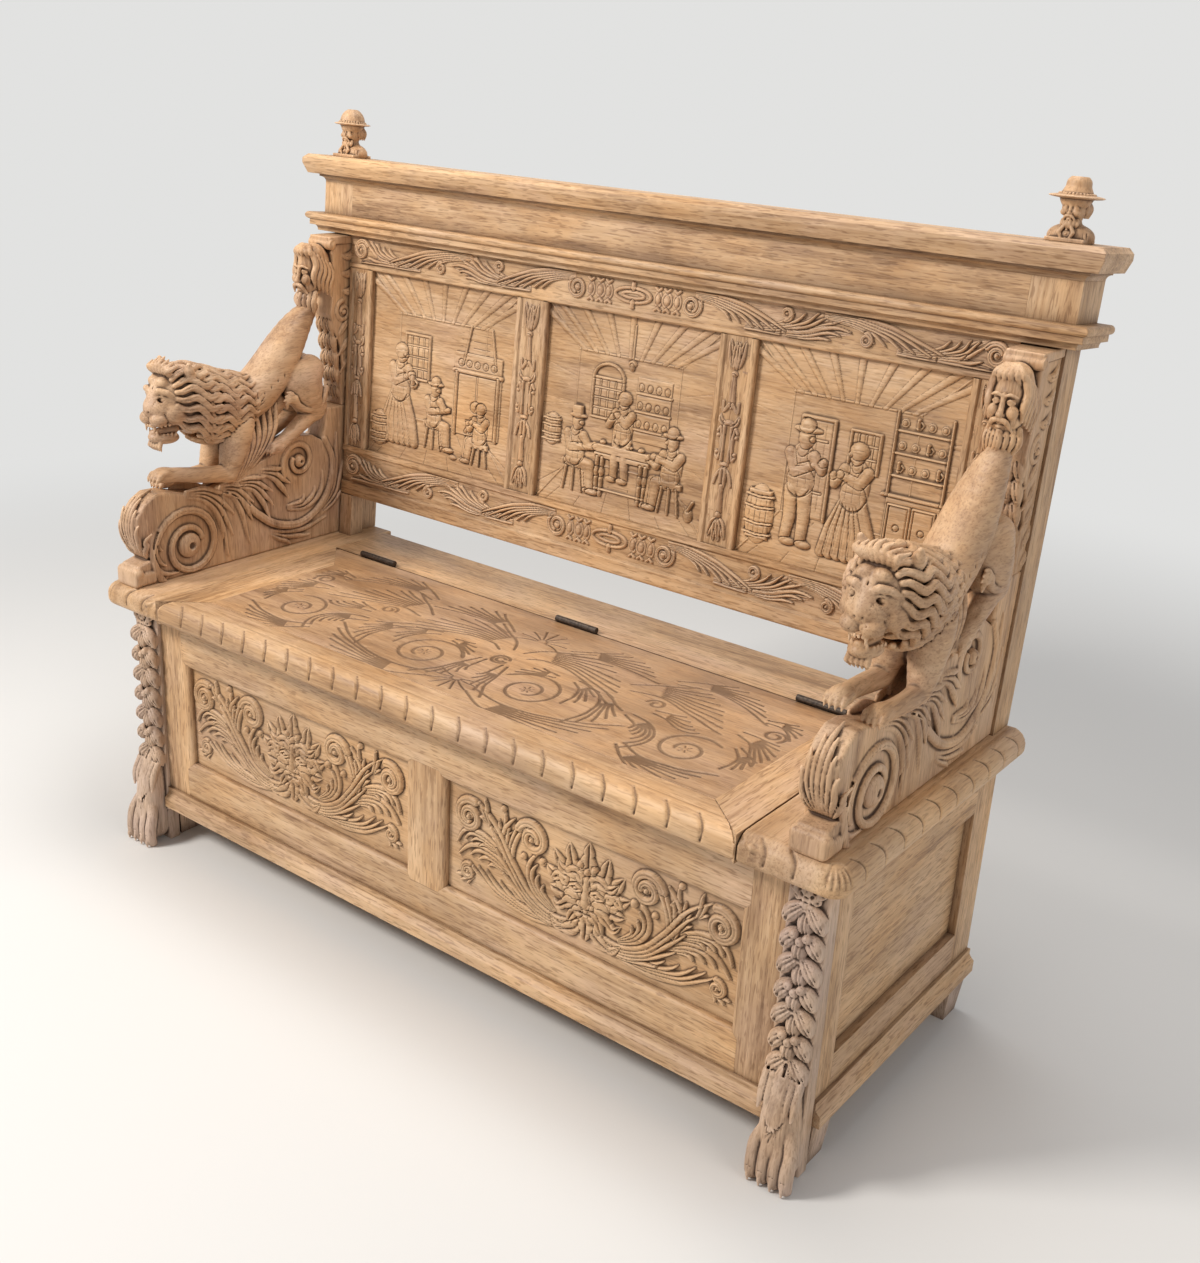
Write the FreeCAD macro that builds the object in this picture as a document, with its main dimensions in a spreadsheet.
import FreeCAD, Part
import math
import os
import re
import Sketcher

# A carved oak hall bench: a box seat with a hinged lid, lion arms and a raked panelled back.
# Lengths are in millimetres. In the working layout x runs to the sitter's left seen from the
# front, y runs from the front of the seat to the back, z runs up from the floor.

LENGTHS = {
    # driving sizes of the box: half its width between the legs, and its depth
    "box_half": 600, "box_back": 520,
    # seat slab and lid
    "seat_height": 470, "slab_thick": 40, "seat_over": 30, "seat_tail": 2, "lid_inset": 55,
    "rear_board_inset": 15, "rear_board_wide": 120, "nose_round": 22, "nose_under": 12,
    "corner_round": 26, "lid_gap": 1.5, "lid_rest": 0.3, "lid_rail": 57, "lid_stile": 67,
    "panel_board": 26, "panel_sink": 2, "tongue_depth": 8, "tongue_thick": 10,
    # hinges
    "hinge_inset": 105, "hinge_length": 80, "leaf_thick": 2, "leaf_drop": 24,
    "knuckle_radius": 5, "pin_radius": 2.2, "pin_play": 0.05, "leaf_play": 0.3,
    # box front
    "leg_front": 40, "frame_set": 6, "frame_thick": 28, "stile_wide": 52, "muntin_half": 27,
    "top_rail_tall": 76, "bottom_rail_tall": 85, "clear_under": 70, "ovolo": 12,
    "ovolo_round": 9, "panel_thick": 12, "panel_set": 12, "groove": 8, "tenon_long": 26,
    "tenon_thick": 9, "tenon_shoulder": 8, "fit_gap": 0.15,
    # box ends and rear
    "leg_wide": 58, "leg_thick": 22, "leg_reveal": 3, "end_thick": 26,
    "end_front_stile": 43, "end_rear_stile": 60, "rear_thick": 26,
    "rear_bottom_tall": 70, "floor_thick": 14, "floor_board_gap": 2, "cleat": 20,
    "cleat_inset": 10,
    # base mouldings
    "base_tall": 35, "base_proud": 13, "base_step": 5, "base_lip": 9,
    # feet and paws
    "foot_wide": 58, "foot_deep": 54, "foot_taper": 7, "paw_proud": 5, "paw_tall": 140,
    "paw_out": 10, "garland_proud": 15, "garland_radius": 25, "garland_low": 150,
    # arm board
    "arm_inset": 32, "arm_thick": 50, "toe_front": 12, "arm_short": 8, "arm_top": 160,
    "scroll_proud": 3, "front_scroll": 74, "rear_scroll": 40,
    # lion
    "lion_short": 28, "lion_length": 350, "lion_height": 270, "lion_foot": 130, "lion_girth": 58,
    # term mask
    "term_proud": 74, "term_foot": 234, "term_clear": 2.7,
    # back frame
    "back_set": 72, "back_frame": 24, "post_wide": 68, "post_lap": 16,
    "under_back": 75, "back_rail_wide": 90, "back_sight": 310, "back_top_tall": 55,
    "back_inner": 161, "back_muntin": 64, "back_stile": 55, "stile_foot": 29, "ridge": 12,
    "ridge_proud": 4, "carve_sink": 3, "back_panel_set": 11, "back_panel_thick": 10,
    "back_groove": 7, "rail_lip": 10, "rail_bead": 12,
    # frieze and mouldings over the back
    "back_deep": 75, "frieze_over": 14, "end_block": 67, "frieze_thick": 22, "frieze_tall": 52,
    "string_tall": 30, "string_proud": 24, "string_step": 9, "string_bead": 6,
    "cornice_tall": 43, "cornice_proud": 29, "cornice_fillet": 8, "cornice_step": 4,
    "cornice_bevel": 7,
    # finials
    "finial_inset": 37, "finial_tall": 78, "finial_shoulder": 31, "finial_middle": 22,
    "bowler_brim": 32, "cone_brim": 35, "finial_crown": 22, "finial_neck": 12, "finial_head": 19,
    # overruns of cuts
    "overrun": 5,
}
ANGLES = {"rake_angle": 4.03}
# Places that follow from the lengths, kept in the sheet as sums
PLACES = {
    "frame_front": "leg_front + frame_set",
    "leg_back": "leg_front + leg_thick",
    "leg_outer": "box_half + leg_wide",
    "end_half": "leg_outer - leg_reveal",
    "end_rear_start": "box_back - end_rear_stile",
    "seat_half": "leg_outer + seat_over",
    "seat_depth": "box_back + seat_tail",
    "lid_half": "box_half - lid_inset",
    "rear_board_back": "box_back - rear_board_inset",
    "hinge_line": "rear_board_back - rear_board_wide",
    "hinge_place": "lid_half - hinge_inset",
    "back_foot": "box_back - back_set",
    "arm_middle": "box_half + arm_inset",
    "arm_back": "back_foot - arm_short",
    "lion_back": "back_foot - lion_short",
    "term_reach": "back_foot - term_proud",
    "term_low": "seat_height + term_foot",
    "post_outer": "leg_outer",
    "post_inner": "post_outer - post_wide",
    "stile_outer": "post_inner + post_lap",
    "back_panel_end": "stile_outer - back_stile",
    "bottom_rail_low": "under_back",
    "bottom_rail_high": "bottom_rail_low + back_rail_wide",
    "top_rail_low": "bottom_rail_high + back_sight",
    "top_rail_high": "top_rail_low + back_top_tall",
    "term_top": "seat_height + top_rail_high * cos(rake_angle * 1 deg) - term_clear",
    "string_high": "top_rail_high + string_tall",
    "frieze_high": "string_high + frieze_tall",
    "cornice_high": "frieze_high + cornice_tall",
    "frieze_end": "leg_outer + frieze_over",
    "frieze_half": "frieze_end - end_block",
    "cornice_half": "frieze_end + cornice_proud",
    "finial_place": "frieze_end - finial_inset",
}

doc = FreeCAD.newDocument("bench")
sheet = doc.addObject("Spreadsheet::Sheet", "Sizes")
NAMES = list(LENGTHS) + list(ANGLES) + list(PLACES)
for row, alias in enumerate(NAMES, start=1):
    sheet.set("A%d" % row, alias)
    sheet.setAlias("B%d" % row, alias)
    value = "=" + PLACES[alias] if alias in PLACES else str({**LENGTHS, **ANGLES}[alias])
    sheet.set("B%d" % row, value)
doc.recompute()

ALIAS = re.compile(r"\b(%s)\b" % "|".join(NAMES))

# Sums that several pieces are bound to
SLAB_UNDER = "(seat_height - slab_thick)"
SIDE_INNER = "(lid_half + lid_gap)"
PIN_HEIGHT = "(seat_height + knuckle_radius + leaf_play)"
STILE_INNER = "(box_half - stile_wide)"
TOP_RAIL_LOW = "(%s - top_rail_tall)" % SLAB_UNDER
BOTTOM_RAIL_HIGH = "(clear_under + bottom_rail_tall)"
BOTTOM_RAIL_LOW = "clear_under"
END_INNER = "(end_half - end_thick)"
FRONT_STILE_BACK = "(leg_back + end_front_stile)"
FRAME_BACK = "(frame_front + frame_thick)"
REAR_INNER = "(box_back - rear_thick)"
RAKE = "rake_angle * 1 deg"
REAR_MOST = "(back_foot + back_deep * cos(%s) + cornice_high * sin(%s))" % (RAKE, RAKE)
MIDDLE = "((%s - paw_proud) / 2)" % REAR_MOST
MUNTIN_OUTER = "(back_inner + back_muntin)"

NODES = {}


def sized(text):
    """The same sum with every name pointing at its cell."""
    return ALIAS.sub(r"Sizes.\1", str(text))


def num(text):
    """The present value of a sum of named sizes."""
    value = sheet.evalExpression(sized(text))
    return float(getattr(value, "Value", value))


def bind(obj, prop, text):
    obj.setExpression(prop, sized(text))


def block(name, xs, ys, zs):
    """A box from its lowest to its highest x, y and z."""
    box = doc.addObject("Part::Box", name)
    for prop, axis, (low, high) in (("Length", "x", xs), ("Width", "y", ys), ("Height", "z", zs)):
        bind(box, prop, "(%s) - (%s)" % (high, low))
        bind(box, "Placement.Base." + axis, low)
    return box


def joined(name, pieces):
    whole = doc.addObject("Part::MultiFuse", name)
    whole.Shapes = pieces
    whole.Refine = True
    return whole


def cut(name, base, tools):
    tool = tools[0] if len(tools) == 1 else joined(name + "_tools", tools)
    result = doc.addObject("Part::Cut", name)
    result.Base = base
    result.Tool = tool
    return result


def outline(body, name, plane, path, offset):
    """A closed sketch on one of the body's own planes.

    Each step of the path is (across, up) for a straight run to that corner, or
    (across, up, radius, side) for an arc to it, its centre left (1) or right (-1) of the run.
    """
    role, sign = {"XY": ("XY_Plane", 1), "XZ": ("XZ_Plane", -1), "YZ": ("YZ_Plane", 1)}[plane]
    sketch = body.newObject("Sketcher::SketchObject", name)
    support = [item for item in body.Origin.OriginFeatures if item.Role == role][0]
    sketch.AttachmentSupport = [(support, "")]
    sketch.MapMode = "FlatFace"
    bind(sketch, "AttachmentOffset.Base.z", "%d * (%s)" % (sign, offset))
    corners = [FreeCAD.Vector(num(step[0]), num(step[1]), 0) for step in path]
    for index, step in enumerate(path):
        start = corners[index - 1]
        end = corners[index]
        if len(step) == 2:
            sketch.addGeometry(Part.LineSegment(start, end), False)
            continue
        radius = num(step[2])
        chord = end - start
        reach = math.sqrt(max(radius ** 2 - (chord.Length / 2) ** 2, 0))
        normal = FreeCAD.Vector(-chord.y, chord.x, 0)
        centre = (start + end) / 2 + normal * (step[3] * reach / chord.Length)
        arms = [end - centre, start - centre] if step[3] < 0 else [start - centre, end - centre]
        turns = [math.atan2(arm.y, arm.x) for arm in arms]
        if turns[1] < turns[0]:
            turns[1] += 2 * math.pi
        circle = Part.Circle(centre, FreeCAD.Vector(0, 0, 1), radius)
        sketch.addGeometry(Part.ArcOfCircle(circle, turns[0], turns[1]), False)
    count = len(path)
    ends = [(2, 1) if len(step) == 4 and step[3] < 0 else (1, 2) for step in path]
    for index in range(count):
        follower = (index + 1) % count
        sketch.addConstraint(Sketcher.Constraint(
            "Coincident", index, ends[index][1], follower, ends[follower][0]))
    for index, step in enumerate(path):
        for kind, text in (("DistanceX", step[0]), ("DistanceY", step[1])):
            made = sketch.addConstraint(Sketcher.Constraint(kind, index, ends[index][1], num(text)))
            bind(sketch, "Constraints[%d]" % made, text)
        if len(step) == 4:
            made = sketch.addConstraint(Sketcher.Constraint("Radius", index, num(step[2])))
            bind(sketch, "Constraints[%d]" % made, step[2])
    return sketch


def pad(body, name, plane, path, low, high):
    """Material over the outline, from low to high across its plane."""
    start = high if plane == "XZ" else low
    sketch = outline(body, name + "_outline", plane, path, start)
    made = body.newObject("PartDesign::Pad", name)
    made.Profile = sketch
    bind(made, "Length", "(%s) - (%s)" % (high, low))
    return made


def pocket(body, name, plane, path, low, high):
    """A cut over the outline, from low to high across its plane."""
    doc.recompute()
    before = body.Shape.Volume
    start = low if plane == "XZ" else high
    sketch = outline(body, name + "_outline", plane, path, start)
    made = body.newObject("PartDesign::Pocket", name)
    made.Profile = sketch
    bind(made, "Length", "(%s) - (%s)" % (high, low))
    doc.recompute()
    if not body.Shape.Volume < before:
        raise ValueError(name + " cuts nothing")
    return made


def new_body(name):
    return doc.addObject("PartDesign::Body", name)


def wrapped(name, obj):
    """A plain board keeps its own bound place inside a group that is then moved."""
    if obj.TypeId != "Part::Box":
        return obj
    group = doc.addObject("Part::Compound", name + "_piece")
    group.Links = [obj]
    return group


def on_bench(name, obj):
    """Keep a sub-part laid out in the bench's own frame."""
    obj = wrapped(name, obj)
    obj.Label = name
    bind(obj, "Placement.Base.y", "-" + MIDDLE)
    NODES[name] = obj
    return obj


def on_back(name, obj):
    """Keep a sub-part of the back, laid out upright and leaned on the rake."""
    obj = wrapped(name, obj)
    obj.Label = name
    turn = FreeCAD.Rotation(FreeCAD.Vector(-1, 0, 0), num("rake_angle"))
    obj.Placement = FreeCAD.Placement(FreeCAD.Vector(0, 0, 0), turn)
    bind(obj, "Placement.Base.y", "back_foot - " + MIDDLE)
    bind(obj, "Placement.Base.z", "seat_height")
    bind(obj, "Placement.Rotation.Angle", "rake_angle")
    NODES[name] = obj
    return obj


def solid(name, shape, keep=on_bench):
    piece = doc.addObject("Part::Feature", name + "_form")
    piece.Shape = shape
    if keep is on_back:
        turn = FreeCAD.Rotation(FreeCAD.Vector(-1, 0, 0), num("rake_angle"))
        base = FreeCAD.Vector(0, num("back_foot - " + MIDDLE), num("seat_height"))
        piece.Placement = FreeCAD.Placement(base, turn)
    else:
        piece.Placement = FreeCAD.Placement(FreeCAD.Vector(0, -num(MIDDLE), 0), FreeCAD.Rotation())
    piece.Label = name
    NODES[name] = piece
    return piece


def sides(low, high):
    """The same x span on the left and on the right."""
    return (("left", ("-(%s)" % high, "-(%s)" % low)), ("right", (low, high)))


def grown(low, high, gap="fit_gap"):
    return ("(%s) - %s" % (low, gap), "(%s) + %s" % (high, gap))


# Joinery shared by the frames
def tenon_band(front, thick):
    """The y span of a tenon in the middle of a member."""
    middle = "(%s + %s / 2)" % (front, thick)
    return ("%s - tenon_thick / 2" % middle, "%s + tenon_thick / 2" % middle)


FRONT_TENON = tenon_band("frame_front", "frame_thick")
FRONT_PANEL = ("frame_front + panel_set", "frame_front + panel_set + panel_thick")
TOP_TENON = ("%s + tenon_shoulder + groove" % TOP_RAIL_LOW, "%s - tenon_shoulder" % SLAB_UNDER)
BOTTOM_TENON = ("clear_under + tenon_shoulder", "%s - tenon_shoulder - groove" % BOTTOM_RAIL_HIGH)


# Front frame of the box
def moulded_edge(body, name, radius, test):
    """Rounds the arris of the body that the test picks."""
    doc.recompute()
    picked = ["Edge%d" % (index + 1) for index, edge in enumerate(body.Tip.Shape.Edges) if test(edge)]
    if not picked:
        raise ValueError(name + " finds no arris")
    base = body.Tip
    made = body.newObject("PartDesign::Fillet", name)
    made.Base = (base, picked)
    bind(made, "Radius", radius)
    doc.recompute()
    return made


def along(axis, **at):
    """A test for a straight edge that runs along one axis at given places."""
    def test(edge):
        if edge.Curve.TypeId != "Part::GeomLine":
            return False
        run = edge.Vertexes[-1].Point - edge.Vertexes[0].Point
        if run.Length - abs(getattr(run, axis)) > num("fit_gap"):
            return False
        centre = edge.CenterOfMass
        return all(abs(getattr(centre, key) - num(text)) < num("fit_gap") for key, text in at.items())
    return test


def front_stile(side, xs):
    inner, outer = (xs[0], xs[1]) if side == "right" else (xs[1], xs[0])
    edge = "%s - ovolo" % inner if side == "right" else "%s + ovolo" % inner
    path = [
        (outer, BOTTOM_RAIL_LOW),
        (outer, SLAB_UNDER),
        (inner, SLAB_UNDER),
        (inner, TOP_RAIL_LOW),
        (edge, "%s - ovolo" % TOP_RAIL_LOW),
        (edge, "%s + ovolo" % BOTTOM_RAIL_HIGH),
        (inner, BOTTOM_RAIL_HIGH),
        (inner, BOTTOM_RAIL_LOW),
    ]
    body = new_body("front_%s_stile_blank" % side)
    pad(body, "front_%s_stile_board" % side, "XZ", path, "frame_front", FRAME_BACK)
    moulded_edge(body, "front_%s_stile_ovolo" % side, "ovolo_round", along("z", x=edge, y="frame_front"))
    low, high = xs[0], "%s + tenon_long" % xs[0]
    if side == "left":
        low, high = "%s - tenon_long" % xs[1], xs[1]
    rooms = [
        block("front_%s_top_mortise" % side, grown(low, high), grown(*FRONT_TENON), grown(*TOP_TENON)),
        block("front_%s_low_mortise" % side, grown(low, high), grown(*FRONT_TENON), grown(*BOTTOM_TENON)),
    ]
    groove = ("%s - ovolo - overrun" % xs[0], "%s - ovolo + groove" % xs[0])
    if side == "left":
        groove = ("%s + ovolo - groove" % xs[1], "%s + ovolo + overrun" % xs[1])
    height = ("%s + ovolo - groove" % BOTTOM_RAIL_HIGH, "%s - ovolo + groove" % TOP_RAIL_LOW)
    rooms.append(block("front_%s_groove" % side, groove, grown(*FRONT_PANEL), grown(*height)))
    on_bench("front_%s_stile" % side, cut("front_%s_stile_cut" % side, body, rooms))


for side, xs in sides(STILE_INNER, "box_half"):
    front_stile(side, xs)


def front_rail(name, low, high, inner, sign, tenon):
    """A rail whose moulded edge is broken by the muntin; sign is the way to the opening."""
    edge = "%s %s ovolo" % (inner, sign)
    outer = low if inner == high else high
    back = "-" if sign == "+" else "+"
    path = [("-" + STILE_INNER, outer), ("-" + STILE_INNER, inner), ("-%s + ovolo" % STILE_INNER, edge)]
    path += [("-muntin_half - ovolo", edge), ("-muntin_half", inner), ("muntin_half", inner)]
    path += [("muntin_half + ovolo", edge), ("%s - ovolo" % STILE_INNER, edge)]
    path += [(STILE_INNER, inner), (STILE_INNER, outer)]
    body = new_body(name + "_blank")
    pad(body, name + "_board", "XZ", path, "frame_front", FRAME_BACK)
    moulded_edge(body, name + "_ovolo", "ovolo_round", along("x", z=edge, y="frame_front"))
    reach = ("-%s - tenon_long" % STILE_INNER, "%s + tenon_long" % STILE_INNER)
    ends = block(name + "_tenons", reach, FRONT_TENON, tenon)
    groove = sorted([edge + " %s overrun" % sign, edge + " %s groove" % back], key=num)
    mortise = sorted([inner, "%s %s tenon_long" % (inner, back)], key=num)
    across = grown("-muntin_half + tenon_shoulder", "muntin_half - tenon_shoulder")
    tools = [block(name + "_muntin_mortise", across, grown(*FRONT_TENON), grown(*mortise))]
    for side, xs in sides("muntin_half + ovolo - groove", "%s - ovolo + groove" % STILE_INNER):
        tools.append(block("%s_%s_groove" % (name, side), grown(*xs), grown(*FRONT_PANEL), groove))
    on_bench(name, cut(name + "_cut", joined(name + "_with_tenons", [body, ends]), tools))


front_rail("front_top_rail", TOP_RAIL_LOW, SLAB_UNDER, TOP_RAIL_LOW, "-", TOP_TENON)
front_rail("front_bottom_rail", BOTTOM_RAIL_LOW, BOTTOM_RAIL_HIGH, BOTTOM_RAIL_HIGH, "+", BOTTOM_TENON)


def front_muntin():
    low = BOTTOM_RAIL_HIGH
    high = TOP_RAIL_LOW
    wide = "muntin_half + ovolo"
    path = [("-muntin_half", low), ("muntin_half", low), (wide, low + " + ovolo"), (wide, high + " - ovolo")]
    path += [("muntin_half", high), ("-muntin_half", high), ("-(%s)" % wide, high + " - ovolo")]
    path += [("-(%s)" % wide, low + " + ovolo")]
    body = new_body("front_muntin_blank")
    pad(body, "front_muntin_board", "XZ", path, "frame_front", FRAME_BACK)
    arrises = [along("z", x=place, y="frame_front") for place in (wide, "-(%s)" % wide)]
    moulded_edge(body, "front_muntin_ovolo", "ovolo_round", lambda edge: any(test(edge) for test in arrises))
    across = ("-muntin_half + tenon_shoulder", "muntin_half - tenon_shoulder")
    tenon = block("front_muntin_tenon", across, FRONT_TENON, (low + " - tenon_long", high + " + tenon_long"))
    tools = []
    for side, xs in sides(wide + " - groove", wide + " + overrun"):
        tools.append(block("front_muntin_%s_groove" % side, xs, grown(*FRONT_PANEL),
                           grown(low + " + ovolo - groove", high + " - ovolo + groove")))
    on_bench("front_muntin", cut("front_muntin_cut", joined("front_muntin_tenoned", [body, tenon]), tools))


front_muntin()
for side, xs in sides("muntin_half + ovolo - groove", "%s - ovolo + groove" % STILE_INNER):
    on_bench("front_%s_panel" % side, block(
        "front_%s_panel_board" % side, xs, FRONT_PANEL,
        ("%s + ovolo - groove" % BOTTOM_RAIL_HIGH, "%s - ovolo + groove" % TOP_RAIL_LOW)))


# Ends and rear of the box
END_TENON = tenon_band(END_INNER, "end_thick")
END_PANEL = ("end_half - panel_set - panel_thick", "end_half - panel_set")
END_HEIGHT = ("%s - groove" % BOTTOM_RAIL_HIGH, "%s + groove" % TOP_RAIL_LOW)
END_DEPTH = ("%s - groove" % FRONT_STILE_BACK, "end_rear_start + groove")


def box_end(side):
    def xs(span):
        return span if side == "right" else ("-(%s)" % span[1], "-(%s)" % span[0])

    body = xs((END_INNER, "end_half"))
    rooms = {}
    for where, ys in (("front", ("%s - tenon_long" % FRONT_STILE_BACK, FRONT_STILE_BACK)),
                      ("rear", ("end_rear_start", "end_rear_start + tenon_long"))):
        rooms[where] = [
            block("%s_%s_top_room" % (side, where), grown(*xs(END_TENON)), grown(*ys), grown(*TOP_TENON)),
            block("%s_%s_low_room" % (side, where), grown(*xs(END_TENON)), grown(*ys), grown(*BOTTOM_TENON)),
        ]
    for where, ys in (("front", ("%s - groove" % FRONT_STILE_BACK, "%s + overrun" % FRONT_STILE_BACK)),
                      ("rear", ("end_rear_start - overrun", "end_rear_start + groove"))):
        rooms[where].append(block("%s_%s_end_groove" % (side, where), grown(*xs(END_PANEL)), ys,
                                  grown(*END_HEIGHT)))
    rear_rail = sorted(xs(("%s - overrun" % END_INNER, "%s + tenon_shoulder" % END_INNER)), key=num)
    tall = ("clear_under", SLAB_UNDER)
    for where, zs in (("top", (TOP_RAIL_LOW + " - fit_gap", SLAB_UNDER + " + overrun")),
                      ("low", ("clear_under - overrun", "clear_under + rear_bottom_tall + fit_gap"))):
        rooms["rear"].append(block("%s_rear_%s_socket" % (side, where), rear_rail,
                                   grown(REAR_INNER, "box_back + overrun"), zs))
    front = block("%s_front_stile_blank" % side, body, ("leg_back", FRONT_STILE_BACK), tall)
    rear = block("%s_rear_stile_blank" % side, body, ("end_rear_start", "box_back"), tall)
    on_bench("%s_end_front_stile" % side, cut("%s_front_stile_cut" % side, front, rooms["front"]))
    on_bench("%s_end_rear_stile" % side, cut("%s_rear_stile_cut" % side, rear, rooms["rear"]))
    for name, low, high, tenon, groove in (
            ("top", TOP_RAIL_LOW, SLAB_UNDER, TOP_TENON,
             (TOP_RAIL_LOW + " - overrun", TOP_RAIL_LOW + " + groove")),
            ("bottom", BOTTOM_RAIL_LOW, BOTTOM_RAIL_HIGH, BOTTOM_TENON,
             (BOTTOM_RAIL_HIGH + " - groove", BOTTOM_RAIL_HIGH + " + overrun"))):
        run = (FRONT_STILE_BACK, "end_rear_start")
        board = block("%s_%s_end_board" % (side, name), body, run, (low, high))
        ends = block("%s_%s_end_tenon" % (side, name), xs(END_TENON),
                     ("%s - tenon_long" % FRONT_STILE_BACK, "end_rear_start + tenon_long"), tenon)
        room = block("%s_%s_end_groove" % (side, name), grown(*xs(END_PANEL)), grown(*END_DEPTH), groove)
        tenoned = joined("%s_%s_end_tenoned" % (side, name), [board, ends])
        on_bench("%s_end_%s_rail" % (side, name), cut("%s_%s_end_cut" % (side, name), tenoned, [room]))
    on_bench("%s_end_panel" % side, block("%s_end_panel_board" % side, xs(END_PANEL), END_DEPTH, END_HEIGHT))


box_end("left")
box_end("right")

REAR_SPAN = ("-(%s + tenon_shoulder)" % END_INNER, "%s + tenon_shoulder" % END_INNER)
REAR_PANEL = ("%s + panel_thick / 2" % REAR_INNER, "%s + panel_thick * 1.5" % REAR_INNER)
rear_low = "clear_under + rear_bottom_tall"
for name, zs, groove in (
        ("rear_top_rail", (TOP_RAIL_LOW, SLAB_UNDER),
         (TOP_RAIL_LOW + " - overrun", TOP_RAIL_LOW + " + groove")),
        ("rear_bottom_rail", ("clear_under", rear_low),
         (rear_low + " - groove", rear_low + " + overrun"))):
    board = block(name + "_board", REAR_SPAN, (REAR_INNER, "box_back"), zs)
    room = block(name + "_groove", ("-" + END_INNER, END_INNER), grown(*REAR_PANEL), groove)
    on_bench(name, cut(name + "_cut", board, [room]))
on_bench("rear_panel", block(
    "rear_panel_board", ("-(%s) + fit_gap" % END_INNER, "%s - fit_gap" % END_INNER), REAR_PANEL,
    (rear_low + " - groove + fit_gap", TOP_RAIL_LOW + " + groove - fit_gap")))

# Floor of the box: short boards laid on a front and a rear cleat
FLOOR_LOW = "(clear_under + cleat_inset + cleat)"
FLOOR_BOARDS = 6
floor_span = "((%s - floor_board_gap) * 2)" % END_INNER
boards = []
for index in range(FLOOR_BOARDS):
    start = "%s * %d / %d - %s / 2 + floor_board_gap / 2" % (floor_span, index, FLOOR_BOARDS, floor_span)
    end = "%s * %d / %d - %s / 2 - floor_board_gap / 2" % (floor_span, index + 1, FLOOR_BOARDS, floor_span)
    boards.append(block("floor_board_%d" % (index + 1), (start, end), (FRAME_BACK, REAR_INNER),
                        (FLOOR_LOW, FLOOR_LOW + " + floor_thick")))
floor = doc.addObject("Part::Compound", "floor_group")
floor.Links = boards
on_bench("floor_boards", floor)
cleats = doc.addObject("Part::Compound", "cleat_group")
cleats.Links = [
    block(where + "_cleat", ("-box_half", "box_half"), ys, ("clear_under + cleat_inset", FLOOR_LOW))
    for where, ys in (("front", (FRAME_BACK, FRAME_BACK + " + cleat")),
                      ("rear", (REAR_INNER + " - cleat", REAR_INNER)))
]
on_bench("floor_cleats", cleats)


# Base mouldings: a lip, a hollow and a square under it
def base_profile(face, sign):
    """The section, from the face it is planted on; sign says which way is outwards."""
    out = "%s %s base_proud" % (face, sign)
    mid = "%s %s base_step" % (face, sign)
    turn = 1 if sign == "-" else -1
    return [
        (face, "clear_under"),
        (out, "clear_under"),
        (out, "clear_under + base_tall / 2"),
        (mid, "clear_under + base_tall - base_lip", "base_tall", turn),
        (mid, "clear_under + base_tall"),
        (face, "clear_under + base_tall"),
    ]


base = new_body("front_base_strip")
pad(base, "front_base_run", "YZ", base_profile("frame_front", "-"), "-box_half", "box_half")
on_bench("front_base_moulding", base)
strips = doc.addObject("Part::Compound", "side_base_group")
strip_list = []
for side, sign in (("left", "-"), ("right", "+")):
    strip = new_body("%s_base_strip" % side)
    face = "end_half" if side == "right" else "-end_half"
    pad(strip, "%s_base_run" % side, "XZ", base_profile(face, sign), "leg_back", "box_back")
    strip_list.append(strip)
strips.Links = strip_list
on_bench("side_base_mouldings", strips)


# Foot blocks, tapered downwards
def foot(name, side, front):
    wedge = doc.addObject("Part::Wedge", name)
    across = ("end_half - foot_wide + base_step", "end_half + base_step")
    if side == "left":
        across = ("-(%s)" % across[1], "-(%s)" % across[0])
    deep = (front, "%s + foot_deep" % front)
    for prop, text in (("Xmin", across[0] + " + foot_taper"), ("Xmax", across[1] + " - foot_taper"),
                       ("X2min", across[0]), ("X2max", across[1]),
                       ("Zmin", "-(%s) + foot_taper" % deep[1]), ("Zmax", "-(%s) - foot_taper" % deep[0]),
                       ("Z2min", "-(%s)" % deep[1]), ("Z2max", "-(%s)" % deep[0])):
        bind(wedge, prop, text)
    wedge.Ymin = 0
    bind(wedge, "Ymax", "clear_under")
    wedge.Placement.Rotation = FreeCAD.Rotation(FreeCAD.Vector(1, 0, 0), 90)
    return wedge


feet = doc.addObject("Part::Compound", "foot_group")
feet.Links = [foot("foot_%s_%s" % (side, where), side, front)
              for side in ("left", "right")
              for where, front in (("front", "leg_back"), ("rear", "box_back - foot_deep"))]
on_bench("foot_blocks", feet)


# Seat: fixed boards beside and behind the lid
SEAT_MIDDLE = "seat_height - slab_thick / 2"
SEAT_TONGUE = (SEAT_MIDDLE + " - tongue_thick / 2", SEAT_MIDDLE + " + tongue_thick / 2")
REAR_BOARD = ("hinge_line + lid_gap / 2", "rear_board_back")


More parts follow.
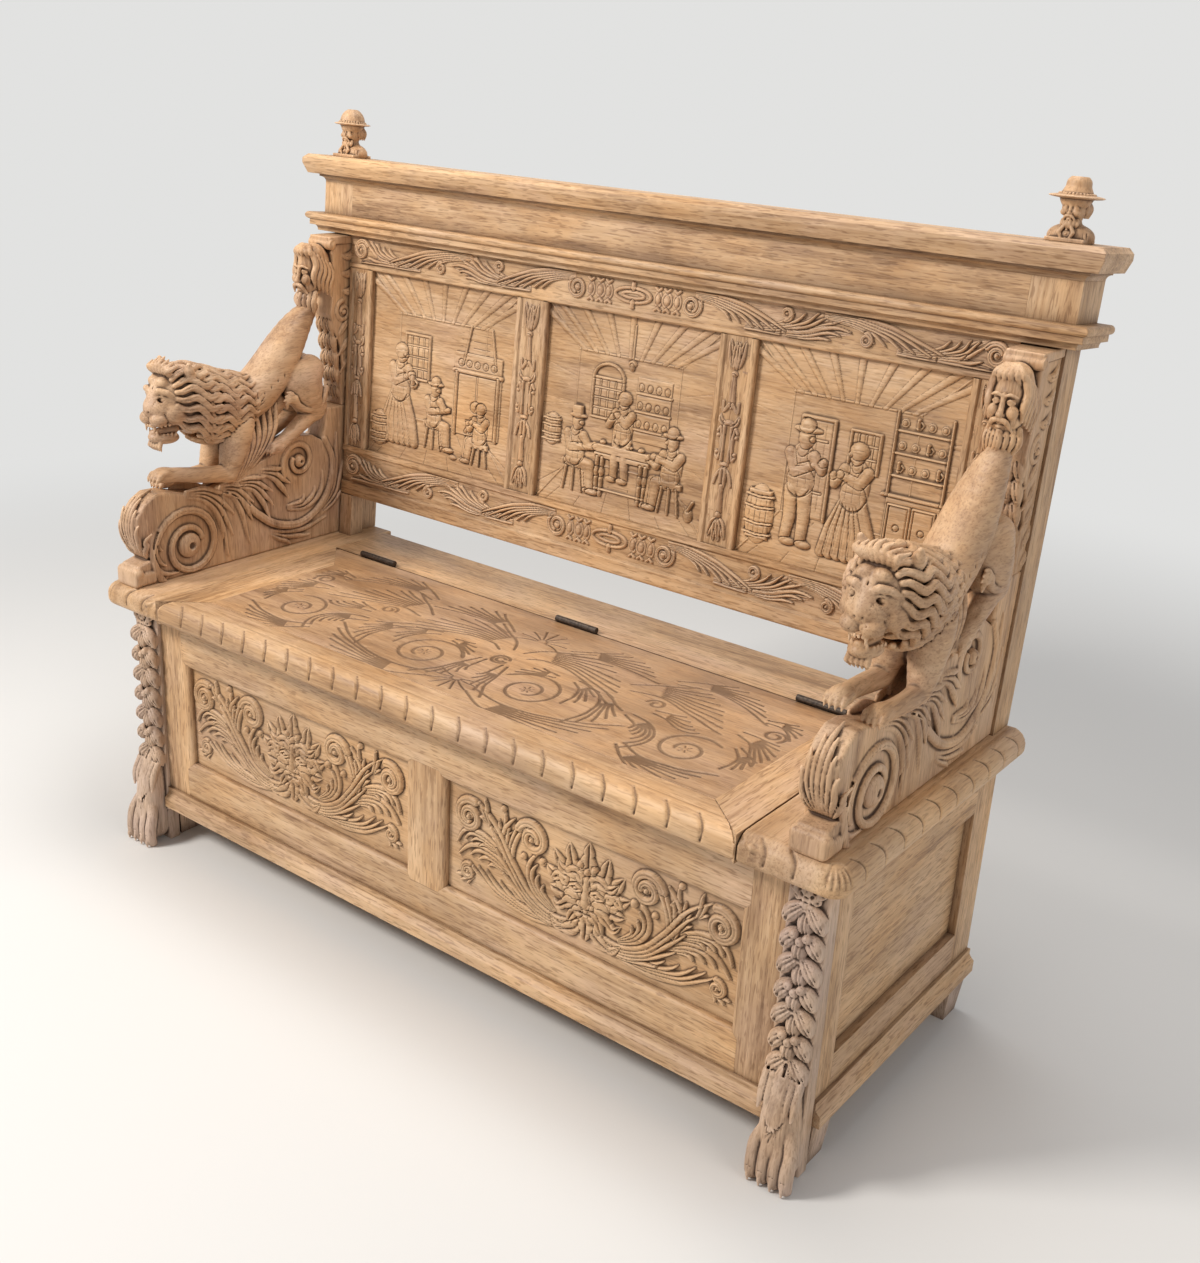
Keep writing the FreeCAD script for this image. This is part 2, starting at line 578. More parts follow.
def nosed_board(side, xs):
    inner, outer = (xs[0], xs[1]) if side == "right" else (xs[1], xs[0])
    turn = -1 if side == "left" else 1
    short = "%s - corner_round" % outer if side == "right" else "%s + corner_round" % outer
    path = [(inner, "0"), (short, "0"), (outer, "corner_round", "corner_round", turn)]
    path += [(outer, "seat_depth"), (inner, "seat_depth")]
    body = new_body("%s_seat_blank" % side)
    pad(body, "%s_seat_plank" % side, "XY", path, SLAB_UNDER, "seat_height")

    def rim(height):
        def test(edge):
            centre = edge.CenterOfMass
            box = edge.BoundBox
            level = max(abs(box.ZMin - num(height)), box.ZLength) < num("fit_gap")
            front = abs(centre.y) < num("fit_gap")
            side_edge = abs(abs(centre.x) - num("seat_half")) < num("fit_gap")
            curved = edge.Curve.TypeId != "Part::GeomLine"
            return level and (front or side_edge or curved)
        return test

    moulded_edge(body, "%s_seat_thumb" % side, "nose_round", rim("seat_height"))
    moulded_edge(body, "%s_seat_under" % side, "nose_under", rim(SLAB_UNDER))
    ends = sorted([inner, ("%s + tongue_depth" if side == "right" else "%s - tongue_depth") % inner], key=num)
    room = block("%s_seat_groove" % side, grown(*ends), grown(*REAR_BOARD), grown(*SEAT_TONGUE))
    on_bench("%s_seat_board" % side, cut("%s_seat_cut" % side, body, [room]))


for side, xs in sides(SIDE_INNER, "seat_half"):
    nosed_board(side, xs)

LEAF_LOW = "(seat_height - leaf_drop)"


def hinge_rooms(name, ys):
    """Recesses for the leaves in the edge of a board."""
    rooms = []
    for index in (-1, 0, 1):
        middle = "%d * hinge_place" % index
        xs = grown(middle + " - hinge_length / 2", middle + " + hinge_length / 2")
        zs = (LEAF_LOW + " - fit_gap", "seat_height + overrun")
        rooms.append(block("%s_%d" % (name, index + 2), xs, ys, zs))
    return rooms


rear_blank = block("rear_seat_blank", ("-" + SIDE_INNER, SIDE_INNER), REAR_BOARD, (SLAB_UNDER, "seat_height"))
rear_reach = ("-(%s + tongue_depth)" % SIDE_INNER, "%s + tongue_depth" % SIDE_INNER)
rear_tongue = block("rear_seat_tongue", rear_reach, REAR_BOARD, SEAT_TONGUE)
rear_whole = joined("rear_seat_tongued", [rear_blank, rear_tongue])
on_bench("rear_seat_board", cut("rear_seat_cut", rear_whole, hinge_rooms(
    "rear_leaf_room", ("hinge_line - overrun", "hinge_line + leaf_play / 2 + leaf_thick + fit_gap"))))

# Lid: a mitred frame round a carved panel that runs back to the hinges
LID_UNDER = "(%s + lid_rest)" % SLAB_UNDER
LID_BACK = "(hinge_line - lid_gap / 2)"
PANEL_SPAN = "(lid_half - lid_stile)"
PANEL_TOP = "(seat_height - panel_sink)"
PANEL_LOW = "(%s - panel_board)" % PANEL_TOP
PANEL_MIDDLE = PANEL_LOW + " + panel_board / 2"
LID_TONGUE = (PANEL_MIDDLE + " - tongue_thick / 2", PANEL_MIDDLE + " + tongue_thick / 2")
MITRE_START = "(%s - lid_stile)" % LID_BACK

rail = new_body("lid_rail_blank")
pad(rail, "lid_rail_run", "YZ", [
    ("lid_rail", LID_UNDER),
    ("lid_rail", "seat_height"),
    ("nose_round", "seat_height"),
    ("0", "seat_height - nose_round", "nose_round", 1),
    ("0", "%s + nose_under" % LID_UNDER),
    ("nose_under", LID_UNDER, "nose_under", 1),
], "-lid_half", "lid_half")
for side, sign in (("left", "-"), ("right", "")):
    out = "%s(lid_half + overrun)" % sign
    back = "lid_rail * (lid_half + overrun - %s) / lid_stile" % PANEL_SPAN
    pocket(rail, "lid_rail_%s_mitre" % side, "XY", [
        ("%s%s" % (sign, PANEL_SPAN), "lid_rail"), (out, "lid_rail"), (out, "lid_rail - (%s)" % back),
    ], LID_UNDER + " - overrun", "seat_height + overrun")
rail_groove = block("lid_rail_groove", grown("-" + PANEL_SPAN, PANEL_SPAN),
                    ("lid_rail - tongue_depth", "lid_rail + overrun"), grown(*LID_TONGUE))
on_bench("lid_front_rail", cut("lid_rail_cut", rail, [rail_groove]))

for side, sign in (("left", "-"), ("right", "")):
    stile = new_body("lid_%s_blank" % side)
    pad(stile, "lid_%s_plank" % side, "XY", [
        (sign + "lid_half", "0 + fit_gap * lid_rail / lid_stile"),
        (sign + "lid_half", "%s + lid_stile" % MITRE_START),
        (sign + PANEL_SPAN, MITRE_START),
        (sign + PANEL_SPAN, "lid_rail + fit_gap * lid_rail / lid_stile"),
    ], LID_UNDER, "seat_height")
    span = sorted([sign + "(%s - overrun)" % PANEL_SPAN, sign + "(%s + tongue_depth)" % PANEL_SPAN], key=num)
    room = grown("lid_rail", MITRE_START + " + tongue_depth")
    groove = block("lid_%s_groove" % side, span, room, grown(*LID_TONGUE))
    on_bench("lid_%s_stile" % side, cut("lid_%s_cut" % side, stile, [groove]))

panel = new_body("lid_panel_blank")
mitred = "(%s + lid_stile - fit_gap)" % PANEL_SPAN
pad(panel, "lid_panel_plank", "XY", [
    ("-(%s - fit_gap)" % PANEL_SPAN, "lid_rail + fit_gap"),
    ("%s - fit_gap" % PANEL_SPAN, "lid_rail + fit_gap"),
    ("%s - fit_gap" % PANEL_SPAN, "%s + fit_gap" % MITRE_START),
    (mitred, LID_BACK),
    ("-" + mitred, LID_BACK),
    ("-(%s - fit_gap)" % PANEL_SPAN, "%s + fit_gap" % MITRE_START),
], PANEL_LOW, PANEL_TOP)
tongue_reach = "(%s + tongue_depth - fit_gap)" % PANEL_SPAN
panel_tongue = block("lid_panel_tongue", ("-" + tongue_reach, tongue_reach),
                     ("lid_rail + fit_gap", MITRE_START), LID_TONGUE)
panel_nose = block("lid_panel_nose", ("-%s + fit_gap" % PANEL_SPAN, "%s - fit_gap" % PANEL_SPAN),
                   ("lid_rail - tongue_depth + fit_gap", "lid_rail + overrun"), LID_TONGUE)
panel_whole = joined("lid_panel_tongued", [panel, panel_tongue, panel_nose])
on_bench("lid_panel", cut("lid_panel_cut", panel_whole, hinge_rooms(
    "lid_leaf_room", ("hinge_line - leaf_play / 2 - leaf_thick - fit_gap", "hinge_line + overrun"))))


# Butt hinges: leaves let into the two edges, forged knuckles standing on the joint
KNUCKLES = 3
KNUCKLE_SIDES = 12
ALONG_X = FreeCAD.Rotation(FreeCAD.Vector(0, 1, 0), 90)

def hinge_leaf(side, index, ys, knuckles):
    middle = "%d * hinge_place" % index
    start = "%s - hinge_length / 2" % middle
    tag = "%s_%d" % (side, index + 2)
    plate = (LEAF_LOW, "seat_height - leaf_play")
    parts = [block("leaf_plate_" + tag, (start, start + " + hinge_length"), ys, plate)]
    for turn in knuckles:
        xs = ("%s + hinge_length * %d / %d + leaf_play / 2" % (start, turn, KNUCKLES),
              "%s + hinge_length * %d / %d - leaf_play / 2" % (start, turn + 1, KNUCKLES))
        barrel = doc.addObject("Part::Prism", "knuckle_%s_%d" % (tag, turn))
        barrel.Polygon = KNUCKLE_SIDES
        bind(barrel, "Circumradius", "knuckle_radius")
        bind(barrel, "Height", "hinge_length / %d - leaf_play" % KNUCKLES)
        barrel.Placement.Rotation = ALONG_X
        bind(barrel, "Placement.Base.x", xs[0])
        bind(barrel, "Placement.Base.y", "hinge_line")
        bind(barrel, "Placement.Base.z", PIN_HEIGHT)
        parts.append(barrel)
        parts.append(block("web_%s_%d" % (tag, turn), xs, ys, ("seat_height - leaf_play", PIN_HEIGHT)))
    bore = doc.addObject("Part::Cylinder", "bore_" + tag)
    bind(bore, "Radius", "pin_radius + pin_play")
    bind(bore, "Height", "hinge_length + overrun")
    bore.Placement.Rotation = ALONG_X
    bind(bore, "Placement.Base.x", start + " - overrun / 2")
    bind(bore, "Placement.Base.y", "hinge_line")
    bind(bore, "Placement.Base.z", PIN_HEIGHT)
    return cut("leaf_" + tag, joined("leaf_whole_" + tag, parts), [bore])


lid_leaf = ("hinge_line - leaf_play / 2 - leaf_thick", "hinge_line - leaf_play / 2")
bench_leaf = ("hinge_line + leaf_play / 2", "hinge_line + leaf_play / 2 + leaf_thick")
for name, ys, knuckles in (("hinge_lid_leaves", lid_leaf, (1,)), ("hinge_bench_leaves", bench_leaf, (0, 2))):
    group = doc.addObject("Part::Compound", name + "_group")
    group.Links = [hinge_leaf(name, index, ys, knuckles) for index in (-1, 0, 1)]
    on_bench(name, group)
pins = doc.addObject("Part::Compound", "pin_group")
pin_list = []
for index in (-1, 0, 1):
    pin = doc.addObject("Part::Cylinder", "pin_%d" % (index + 2))
    bind(pin, "Radius", "pin_radius")
    bind(pin, "Height", "hinge_length")
    pin.Placement.Rotation = ALONG_X
    bind(pin, "Placement.Base.x", "%d * hinge_place - hinge_length / 2" % index)
    bind(pin, "Placement.Base.y", "hinge_line")
    bind(pin, "Placement.Base.z", PIN_HEIGHT)
    pin_list.append(pin)
pins.Links = pin_list
on_bench("hinge_pins", pins)


# Carved pieces are worked in the bench's frame on the right and mirrored for the left
def point(x, y, z):
    return FreeCAD.Vector(x, y, z)


def loft(rings):
    """A closed body of flat facets through rings with equal numbers of corners."""
    facets = [Part.Face(Part.makePolygon(ring + [ring[0]])) for ring in (rings[0], rings[-1])]
    count = len(rings[0])
    for before, after in zip(rings, rings[1:]):
        for index in range(count):
            follower = (index + 1) % count
            for corners in ((before[index], before[follower], after[follower]),
                            (before[index], after[follower], after[index])):
                facets.append(Part.Face(Part.makePolygon(list(corners) + [corners[0]])))
    body = Part.Solid(Part.Shell(facets))
    if body.Volume < 0:
        body.reverse()
    return body


def round_ring(x, y, z, radius, corners):
    """Level corners about an upright axis."""
    turns = [2 * math.pi * index / corners for index in range(corners)]
    return [point(x + radius * math.cos(turn), y + radius * math.sin(turn), z) for turn in turns]


def mirrored(shape):
    return shape.mirror(point(0, 0, 0), point(1, 0, 0))


def in_pair(name, shape, keep=on_bench):
    solid("right_" + name, shape, keep)
    solid("left_" + name, mirrored(shape), keep)


def held(low, high):
    """A plain block between two corners, used to trim carved shapes."""
    size = high - low
    return Part.makeBox(size.x, size.y, size.z, low)


# Pilaster legs: a board, a hanging garland and a lion's paw
PAW_SHARES = (
    # height, inset of the two sides, how far the front stands forward, depth of the toe gaps
    (0.0, 0.06, 0.96, 0.10),
    (0.13, 0.0, 1.0, 0.12),
    (0.32, 0.04, 0.86, 0.10),
    (0.54, 0.06, 0.62, 0.05),
    (0.76, 0.10, 0.30, 0.02),
    (1.0, 0.15, 0.02, 0.01),
)
TOES = 4


def paw():
    inner = num("box_half")
    wide = num("leg_wide + paw_out")
    back = num("leg_back")
    reach = num("leg_front + paw_proud")
    rings = []
    for height, inset, forward, gap in PAW_SHARES:
        z = num("paw_tall") * height
        low = inner
        high = max(inner + wide * (1 - inset), num("leg_outer"))
        front = num("leg_front") - reach * forward
        ring = []
        for toe in range(2 * TOES + 1):
            x = low + (high - low) * toe / (2 * TOES)
            depth = 0 if toe % 2 else reach * gap
            ring.append(point(x, front + depth, z))
        ring += [point(high, back, z), point(low, back, z)]
        rings.append(ring)
    return loft(rings)


DROPS = 5
BELL_CORNERS = 10
BELL_SHARES = ((0.0, 0.42), (0.35, 0.74), (0.8, 1.0), (1.0, 0.8))


def garland():
    """Bell-shaped bunches that hang one below another on the board."""
    middle = num("box_half + leg_wide / 2")
    radius = num("garland_radius")
    axis = num("leg_front - garland_proud") + radius
    low = num("garland_low")
    tall = (num(SLAB_UNDER) - low) / DROPS
    bunch = None
    for drop in range(DROPS):
        bell = loft([round_ring(middle, axis, low + tall * (drop + up), radius * wide, BELL_CORNERS)
                     for up, wide in BELL_SHARES])
        bunch = bell if bunch is None else bunch.fuse(bell)
    low_corner = point(num("box_half"), 0, 0)
    keep = held(low_corner, point(num("leg_outer"), num("leg_front + overrun"), num("seat_height")))
    return bunch.common(keep)


leg_board = held(point(num("box_half"), num("leg_front"), num("paw_tall")),
                 point(num("leg_outer"), num("leg_back"), num(SLAB_UNDER)))
in_pair("pilaster_leg", leg_board.fuse([paw(), garland()]).removeSplitter())


# Back posts, leaned on the rake: they carry the frame and stand on the seat
def post():
    inner, outer = num("post_inner"), num("post_outer")
    front, deep = num("back_frame"), num("back_deep")
    board = held(point(inner, front, -num("slab_thick")), point(outer, deep, num("top_rail_high")))
    foot_low = num("stile_outer - stile_foot")
    foot_high = point(num("stile_outer"), front + num("overrun"), num("bottom_rail_low"))
    return board.fuse(held(point(foot_low, 0, -num("slab_thick")), foot_high)).removeSplitter()


def leaned(shape):
    """A shape of the back, moved to where it stands in the bench's frame."""
    copy = shape.copy()
    turn = FreeCAD.Rotation(point(-1, 0, 0), num("rake_angle"))
    copy.Placement = FreeCAD.Placement(point(0, num("back_foot"), num("seat_height")), turn)
    return copy


seat_top = num("seat_height")
under_seat = point(num("cornice_half"), num("cornice_high"), seat_top)
wide_slab = held(point(-num("cornice_half"), -num("overrun"), 0), under_seat)
post_standing = leaned(post()).cut(wide_slab)
in_pair("back_post", post_standing)

# Arm boards: an outline of leaf, toe and scrolls, with raised volutes on both faces
ARM_SHARES = (
    # (across, up) for a straight run, (across, up, across, up) for an arc through the first point
    (0.0, 0.0),
    (-0.002, 0.14, 0.03, 0.24),
    (0.077, 0.255),
    (0.086, 0.34),
    (0.026, 0.44, 0.012, 0.58),
    (0.022, 0.78, 0.077, 0.89),
    (0.14, 0.95),
    (0.20, 0.90, 0.27, 0.83),
    (0.36, 0.79, 0.44, 0.80),
    (0.50, 0.87, 0.556, 0.95),
    (0.62, 1.02, 0.673, 1.06),
    (0.72, 1.18, 0.79, 1.21),
    (0.88, 1.21, 0.93, 1.13),
    (0.945, 1.28, 0.975, 1.4625),
    (1.14, 1.4625),
    (1.14, 0.0),
)
FRONT_SCROLL_SHARES = (0.252, 0.3125)
REAR_SCROLL_SHARES = (0.813, 0.94)
SCROLL_CORNERS = 20


def arm_place(across, up, x=0):
    span = num("arm_back - toe_front")
    return point(x, num("toe_front") + span * across, seat_top + num("arm_top") * up)


def arm_outline(x):
    corners = [arm_place(share[-2], share[-1], x) for share in ARM_SHARES]
    edges = []
    for index, share in enumerate(ARM_SHARES):
        start = corners[index - 1]
        if len(share) == 4:
            edges.append(Part.Arc(start, arm_place(share[0], share[1], x), corners[index]).toShape())
        else:
            edges.append(Part.LineSegment(start, corners[index]).toShape())
    return Part.Wire(Part.__sortEdges__(edges))


def scroll(shares, radius, rings):
    """A round boss on both faces, stepped inwards to its eye; rings hold (radius, proud) shares."""
    proud = num("scroll_proud")
    half = num("arm_thick") / 2
    middle = num("arm_middle")
    made = None
    for reach, rise in rings:
        out = half + proud * rise
        centre = arm_place(shares[0], shares[1], middle - out)
        turns = [2 * math.pi * index / SCROLL_CORNERS for index in range(SCROLL_CORNERS)]
        ring = [centre + point(0, math.cos(turn), math.sin(turn)) * (radius * reach) for turn in turns]
        disc = Part.Face(Part.makePolygon(ring + [ring[0]])).extrude(point(2 * out, 0, 0))
        made = disc if made is None else made.fuse(disc)
    return made


def arm():
    thick = num("arm_thick")
    low = num("arm_middle") - thick / 2
    board = Part.Face(arm_outline(low)).extrude(point(thick, 0, 0))
    front = scroll(FRONT_SCROLL_SHARES, num("front_scroll"), ((1.0, 1.0), (0.52, 2.0), (0.29, 3.2)))
    rear = scroll(REAR_SCROLL_SHARES, num("rear_scroll"), ((1.0, 1.0), (0.5, 2.4)))
    keep = Part.Face(arm_outline(low - thick)).extrude(point(3 * thick, 0, 0))
    whole = board.fuse([front.common(keep), rear.common(keep)])
    return whole.cut(post_standing)


arm_shape = arm()
in_pair("arm_board", arm_shape.removeSplitter())


# Term masks: a bearded head and a small scroll capital over a narrowing stem
TERM_STEM_SHARES = (
    # height, front as a share of the head's reach, half width
    (0.0, 0.30, 1.0),
    (0.30, 0.26, 0.86),
    (0.56, 0.40, 0.95),
    (0.94, 0.40, 0.95),
    (0.95, 0.52, 1.0),
    (1.0, 0.56, 1.0),
)
TERM_SIDE_SHARE = 0.98
TERM_BEVEL_SHARE = 0.4
TERM_ROOT_SHARE = 0.1
TERM_HEAD_SHARES = (
    (0.54, 0.50, 0.30),
    (0.60, 0.86, 0.62),
    (0.70, 1.0, 0.95),
    (0.80, 0.93, 1.05),
    (0.88, 0.78, 1.05),
    (0.955, 0.62, 0.95),
)


def term():
    low, top = num("term_low"), num("term_top")
    middle = num("arm_middle")
    half = num("arm_thick") / 2
    root = num("back_foot + back_frame") + (top - seat_top) * math.tan(math.radians(num("rake_angle")))
    reach = root - num("term_reach")
    parts = []
    deep = root - reach * TERM_ROOT_SHARE
    for table, back in ((TERM_STEM_SHARES, root + num("overrun")), (TERM_HEAD_SHARES, deep)):
        rings = []
        for height, forward, wide in table:
            z = low + (top - low) * height
            front = root - reach * forward
            side = half * wide * TERM_SIDE_SHARE
            bevel = side * TERM_BEVEL_SHARE
            rings.append([
                point(middle - side + bevel, front, z), point(middle + side - bevel, front, z),
                point(middle + side, front + bevel, z), point(middle + side, back, z),
                point(middle - side, back, z), point(middle - side, front + bevel, z)])
        parts.append(loft(rings))
    return parts[0].fuse(parts[1]).cut(post_standing)


term_shape = term()

# Lions: body, mane, muzzle and four legs, each a row of eight-sided sections
# (back to front, up, half height, half width), the last two as shares of the girth
LION_SHARES = {
    "torso": (0, (
        (0.02, 0.86, 0.50, 0.40), (0.10, 0.76, 0.88, 0.60), (0.229, 0.648, 0.86, 0.60),
        (0.371, 0.526, 0.83, 0.62), (0.53, 0.452, 0.80, 0.70))),
    "mane": (0, (
        (0.47, 0.45, 0.62, 0.60), (0.594, 0.493, 1.0, 0.88), (0.729, 0.537, 1.14, 0.98),
        (0.843, 0.574, 1.0, 0.86), (0.92, 0.60, 0.60, 0.55))),
    "muzzle": (0, (
        (0.82, 0.53, 0.85, 0.62), (0.92, 0.485, 0.78, 0.50), (0.975, 0.462, 0.62, 0.42),
        (0.997, 0.458, 0.40, 0.30))),
    "foreleg": (0.42, (
        (0.60, 0.36, 0.60, 0.36), (0.63, 0.17, 0.50, 0.34), (0.72, 0.085, 0.38, 0.32),
        (0.90, 0.08, 0.36, 0.36), (0.975, 0.06, 0.24, 0.30))),
    "hindleg": (0.38, (
        (0.07, 0.68, 0.66, 0.38), (0.166, 0.52, 0.80, 0.42), (0.235, 0.34, 0.52, 0.38),
        (0.30, 0.24, 0.36, 0.36), (0.39, 0.215, 0.28, 0.34))),
}
SECTION_SIDES = 8


def lion_limb(sections, x):
    length, rise, girth = num("lion_length"), num("lion_height"), num("lion_girth")
    foot = seat_top + num("lion_foot")
    places = [(num("lion_back") - length * s[0], foot + rise * s[1]) for s in sections]
    rings = []
    for index, (y, z) in enumerate(places):
        before = places[max(index - 1, 0)]
        after = places[min(index + 1, len(places) - 1)]
        run = FreeCAD.Vector(0, after[0] - before[0], after[1] - before[1]).normalize()
        up = FreeCAD.Vector(0, -run.z, run.y)
        tall, wide = girth * sections[index][2], girth * sections[index][3]
        ring = []
        for corner in range(SECTION_SIDES):
            angle = 2 * math.pi * (corner + 0.5) / SECTION_SIDES
            ring.append(point(x + wide * math.cos(angle), y, z) + up * (tall * math.sin(angle)))
        rings.append(ring)
    return loft(rings)


def lion():
    middle = num("arm_middle")
    parts = []
    for offset, sections in LION_SHARES.values():
        reach = num("lion_girth") * offset
        for x in sorted({middle - reach, middle + reach}):
            parts.append(lion_limb(sections, x))
    whole = parts[0].fuse(parts[1:])
    return whole.cut([arm_shape, term_shape, post_standing])


lion_shape = lion()
in_pair("term_mask", term_shape)
in_pair("lion", lion_shape)


# Back frame
BACK_TENON = tenon_band("0", "back_frame")
BACK_PANEL = ("back_panel_set", "back_panel_set + back_panel_thick")
RAILS = {
    "back_bottom_rail": ("bottom_rail_low", "bottom_rail_high"),
    "back_top_rail": ("top_rail_low", "top_rail_high"),
}
OPENINGS = (
    ("left", "-back_panel_end", "-" + MUNTIN_OUTER),
    ("centre", "-back_inner", "back_inner"),
    ("right", MUNTIN_OUTER, "back_panel_end"),
)
UPRIGHTS = (
    ("left_back_stile", "-stile_outer", "-back_panel_end"),
    ("left_back_muntin", "-" + MUNTIN_OUTER, "-back_inner"),
    ("right_back_muntin", "back_inner", MUNTIN_OUTER),
    ("right_back_stile", "back_panel_end", "stile_outer"),
)


def back_upright(name, low, high):
    """An upright with a sunk strip for carving between two ridges."""
    body = new_body(name + "_blank")
    pad(body, name + "_board", "XY", [
        (low, "back_frame"), (low, "ridge_proud"), (low + " + ridge_proud", "0", "ridge_proud", 1),
        (low + " + ridge - carve_sink", "0"), (low + " + ridge", "carve_sink"),
        (high + " - ridge", "carve_sink"), (high + " - ridge + carve_sink", "0"),
        (high + " - ridge_proud", "0"), (high, "ridge_proud", "ridge_proud", 1), (high, "back_frame"),
    ], "bottom_rail_high", "top_rail_low")
    tenon = block(name + "_tenon", (low + " + tenon_shoulder", high + " - tenon_shoulder"), BACK_TENON,
                  ("bottom_rail_high - tenon_long", "top_rail_low + tenon_long"))
    grooves = []
    for side, start, end in (("low", low + " - overrun", low + " + back_groove"),
                             ("high", high + " - back_groove", high + " + overrun")):
        if start.startswith("-stile_outer") or end.startswith("stile_outer"):
            continue
        grooves.append(block("%s_%s_groove" % (name, side), (start, end), grown(*BACK_PANEL),
                             grown("bottom_rail_high", "top_rail_low")))
    on_back(name, cut(name + "_cut", joined(name + "_tenoned", [body, tenon]), grooves))


for name, low, high in UPRIGHTS:
    back_upright(name, low, high)


def back_rail(name, low, high):
    body = new_body(name + "_blank")
    lip = "rail_lip" if name == "back_top_rail" else "rail_bead + rail_lip + ridge_proud"
    bead = "ridge_proud" if name == "back_top_rail" else "rail_bead"
    pad(body, name + "_board", "YZ", [
        ("back_frame", low), ("ridge_proud", low), ("0", low + " + ridge_proud", "ridge_proud", -1),
        ("0", "%s + %s - carve_sink" % (low, lip)), ("carve_sink", "%s + %s" % (low, lip)),
        ("carve_sink", "%s - %s" % (high, bead)), ("0", "%s - %s + carve_sink" % (high, bead)),
        ("0", high), ("back_frame", high),
    ], "-stile_outer", "stile_outer")
    inner = high if name == "back_bottom_rail" else low
    way = (inner + " - overrun", inner + " + tenon_long")
    room = (inner + " - overrun", inner + " + back_groove")
    if name == "back_bottom_rail":
        way = (inner + " - tenon_long", inner + " + overrun")
        room = (inner + " - back_groove", inner + " + overrun")
    tools = [block("%s_%s_mortise" % (name, upright),
                   grown(start + " + tenon_shoulder", end + " - tenon_shoulder"),
                   grown(*BACK_TENON), grown(*way)) for upright, start, end in UPRIGHTS]
    tools += [block("%s_%s_groove" % (name, side), grown(start, end), grown(*BACK_PANEL), grown(*room))
              for side, start, end in OPENINGS]
    on_back(name, cut(name + "_cut", body, tools))


for name, (low, high) in RAILS.items():
    back_rail(name, low, high)
for side, low, high in OPENINGS:
    tongues = ("%s - back_groove + fit_gap" % low, "%s + back_groove - fit_gap" % high)
    wide = block("back_%s_board" % side, tongues, BACK_PANEL, ("bottom_rail_high", "top_rail_low"))
    tall = block("back_%s_tongue" % side, (low, high), BACK_PANEL,
                 ("bottom_rail_high - back_groove + fit_gap", "top_rail_low + back_groove - fit_gap"))
    on_back("back_%s_panel" % side, joined("back_%s_whole" % side, [wide, tall]))


# Mouldings over the frame, returned round both ends
def returned(name, low, high, profile):
    """The profile is a list of (how far out, height), with an arc's radius and side after them."""
    run = new_body(name + "_run_body")
    path = [("back_deep", low)]
    path += [("-(%s)" % step[0],) + tuple(step[1:]) for step in profile]
    path += [("back_deep", high)]
    pad(run, name + "_run", "YZ", path, "-cornice_half - overrun", "cornice_half + overrun")
    ends = new_body(name + "_end_body")
    path = [("frieze_end + %s" % step[0],) + tuple(step[1:3]) + tuple(-side for side in step[3:])
            for step in profile]
    for index in reversed(range(len(profile))):
        corner = ("-(frieze_end + %s)" % profile[index][0], profile[index][1])
        after = profile[index + 1] if index + 1 < len(profile) else ()
        path.append(corner + ((after[2], -after[3]) if len(after) == 4 else ()))
    pad(ends, name + "_end", "XZ", path, "-cornice_proud - overrun", "back_deep")
    both = doc.addObject("Part::Common", name + "_common")
    both.Base = run
    both.Tool = ends
    return on_back(name, both)


returned("string_moulding", "top_rail_high", "string_high", [
    ("0", "top_rail_high"),
    ("string_proud / 3", "top_rail_high"),
    ("string_proud / 2", "top_rail_high + string_step", "string_step", 1),
    ("string_proud - string_bead", "top_rail_high + string_step"),
    ("string_proud - string_bead", "string_high - 2 * string_bead"),
    ("string_proud", "string_high - string_bead", "string_bead", -1),
    ("string_proud - string_bead", "string_high", "string_bead", -1),
])
returned("cornice", "frieze_high", "cornice_high", [
    ("0", "frieze_high"),
    ("cornice_fillet", "frieze_high + cornice_fillet", "cornice_fillet", 1),
    ("cornice_fillet", "frieze_high + cornice_fillet + cornice_step"),
    ("cornice_proud - cornice_bevel", "frieze_high + cornice_fillet + cornice_step"),
    ("cornice_proud", "cornice_high - cornice_bevel - cornice_fillet"),
    ("cornice_proud", "cornice_high - cornice_bevel"),
    ("cornice_proud - cornice_bevel", "cornice_high"),
])
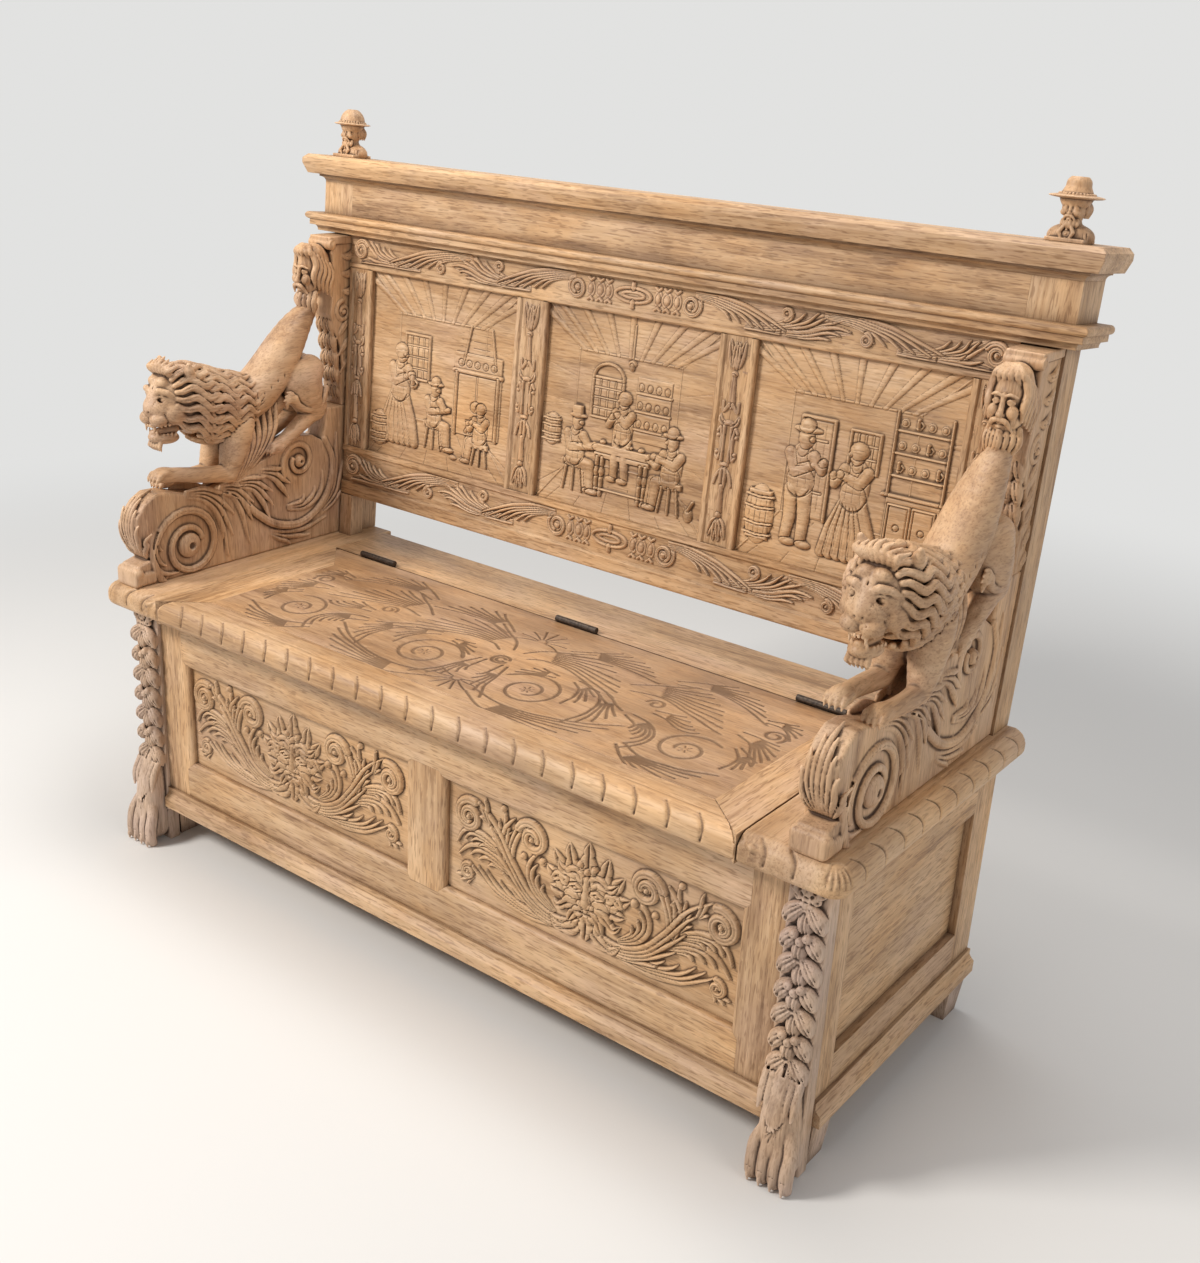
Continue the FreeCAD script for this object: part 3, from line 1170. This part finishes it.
on_back("frieze_board", block("frieze_plank", ("-frieze_half", "frieze_half"), ("0", "frieze_thick"),
                              ("string_high", "frieze_high")))
ends = doc.addObject("Part::Compound", "frieze_end_group")
ends.Links = [block("frieze_%s_end" % side, xs, ("0", "back_deep"), ("string_high", "frieze_high"))
              for side, xs in sides("frieze_half", "frieze_end")]
on_back("frieze_end_blocks", ends)


# Finials: two hatted busts, faceted about an upright axis
BUST_CORNERS = 12
BUST_SHARES = (
    # height, radius as a share of the shoulder, the neck, the head, the brim or the crown
    (0.0, "finial_shoulder", 0.88), (0.12, "finial_shoulder", 1.0), (0.25, "finial_shoulder", 0.62),
    (0.28, "finial_neck", 1.0), (0.33, "finial_head", 0.86), (0.46, "finial_head", 1.0),
    (0.60, "finial_head", 0.9),
)
HAT_SHARES = {
    "bowler": ((0.605, "bowler_brim", 1.0), (0.68, "bowler_brim", 1.0), (0.69, "finial_crown", 1.0),
               (0.82, "finial_crown", 0.92), (0.93, "finial_crown", 0.66), (1.0, "finial_crown", 0.2)),
    "cone": ((0.605, "cone_brim", 1.0), (0.68, "cone_brim", 1.0), (0.69, "finial_crown", 1.0),
             (0.98, "finial_crown", 0.62), (1.0, "finial_crown", 0.56)),
}


def bust(x, hat):
    base = num("cornice_high")
    tall, middle = num("finial_tall"), num("finial_middle")
    rings = [round_ring(x, middle, base + tall * height, num(size) * share, BUST_CORNERS)
             for height, size, share in BUST_SHARES + HAT_SHARES[hat]]
    return loft(rings)


solid("left_finial", bust(-num("finial_place"), "bowler"), on_back)
solid("right_finial", bust(num("finial_place"), "cone"), on_back)

# Checks, then one file for each sub-part
doc.recompute()
for item in doc.Objects:
    if "Invalid" in item.State or "Error" in item.State:
        raise ValueError("%s is %s" % (item.Name, item.State))
for name, item in NODES.items():
    if item.Shape.isNull() or not item.Shape.isValid():
        raise ValueError(name + " has a bad shape")
os.makedirs("parts", exist_ok=True)
for name, item in NODES.items():
    item.Shape.exportStep("parts/%s.step" % name)
print(len(NODES), "sub-parts")
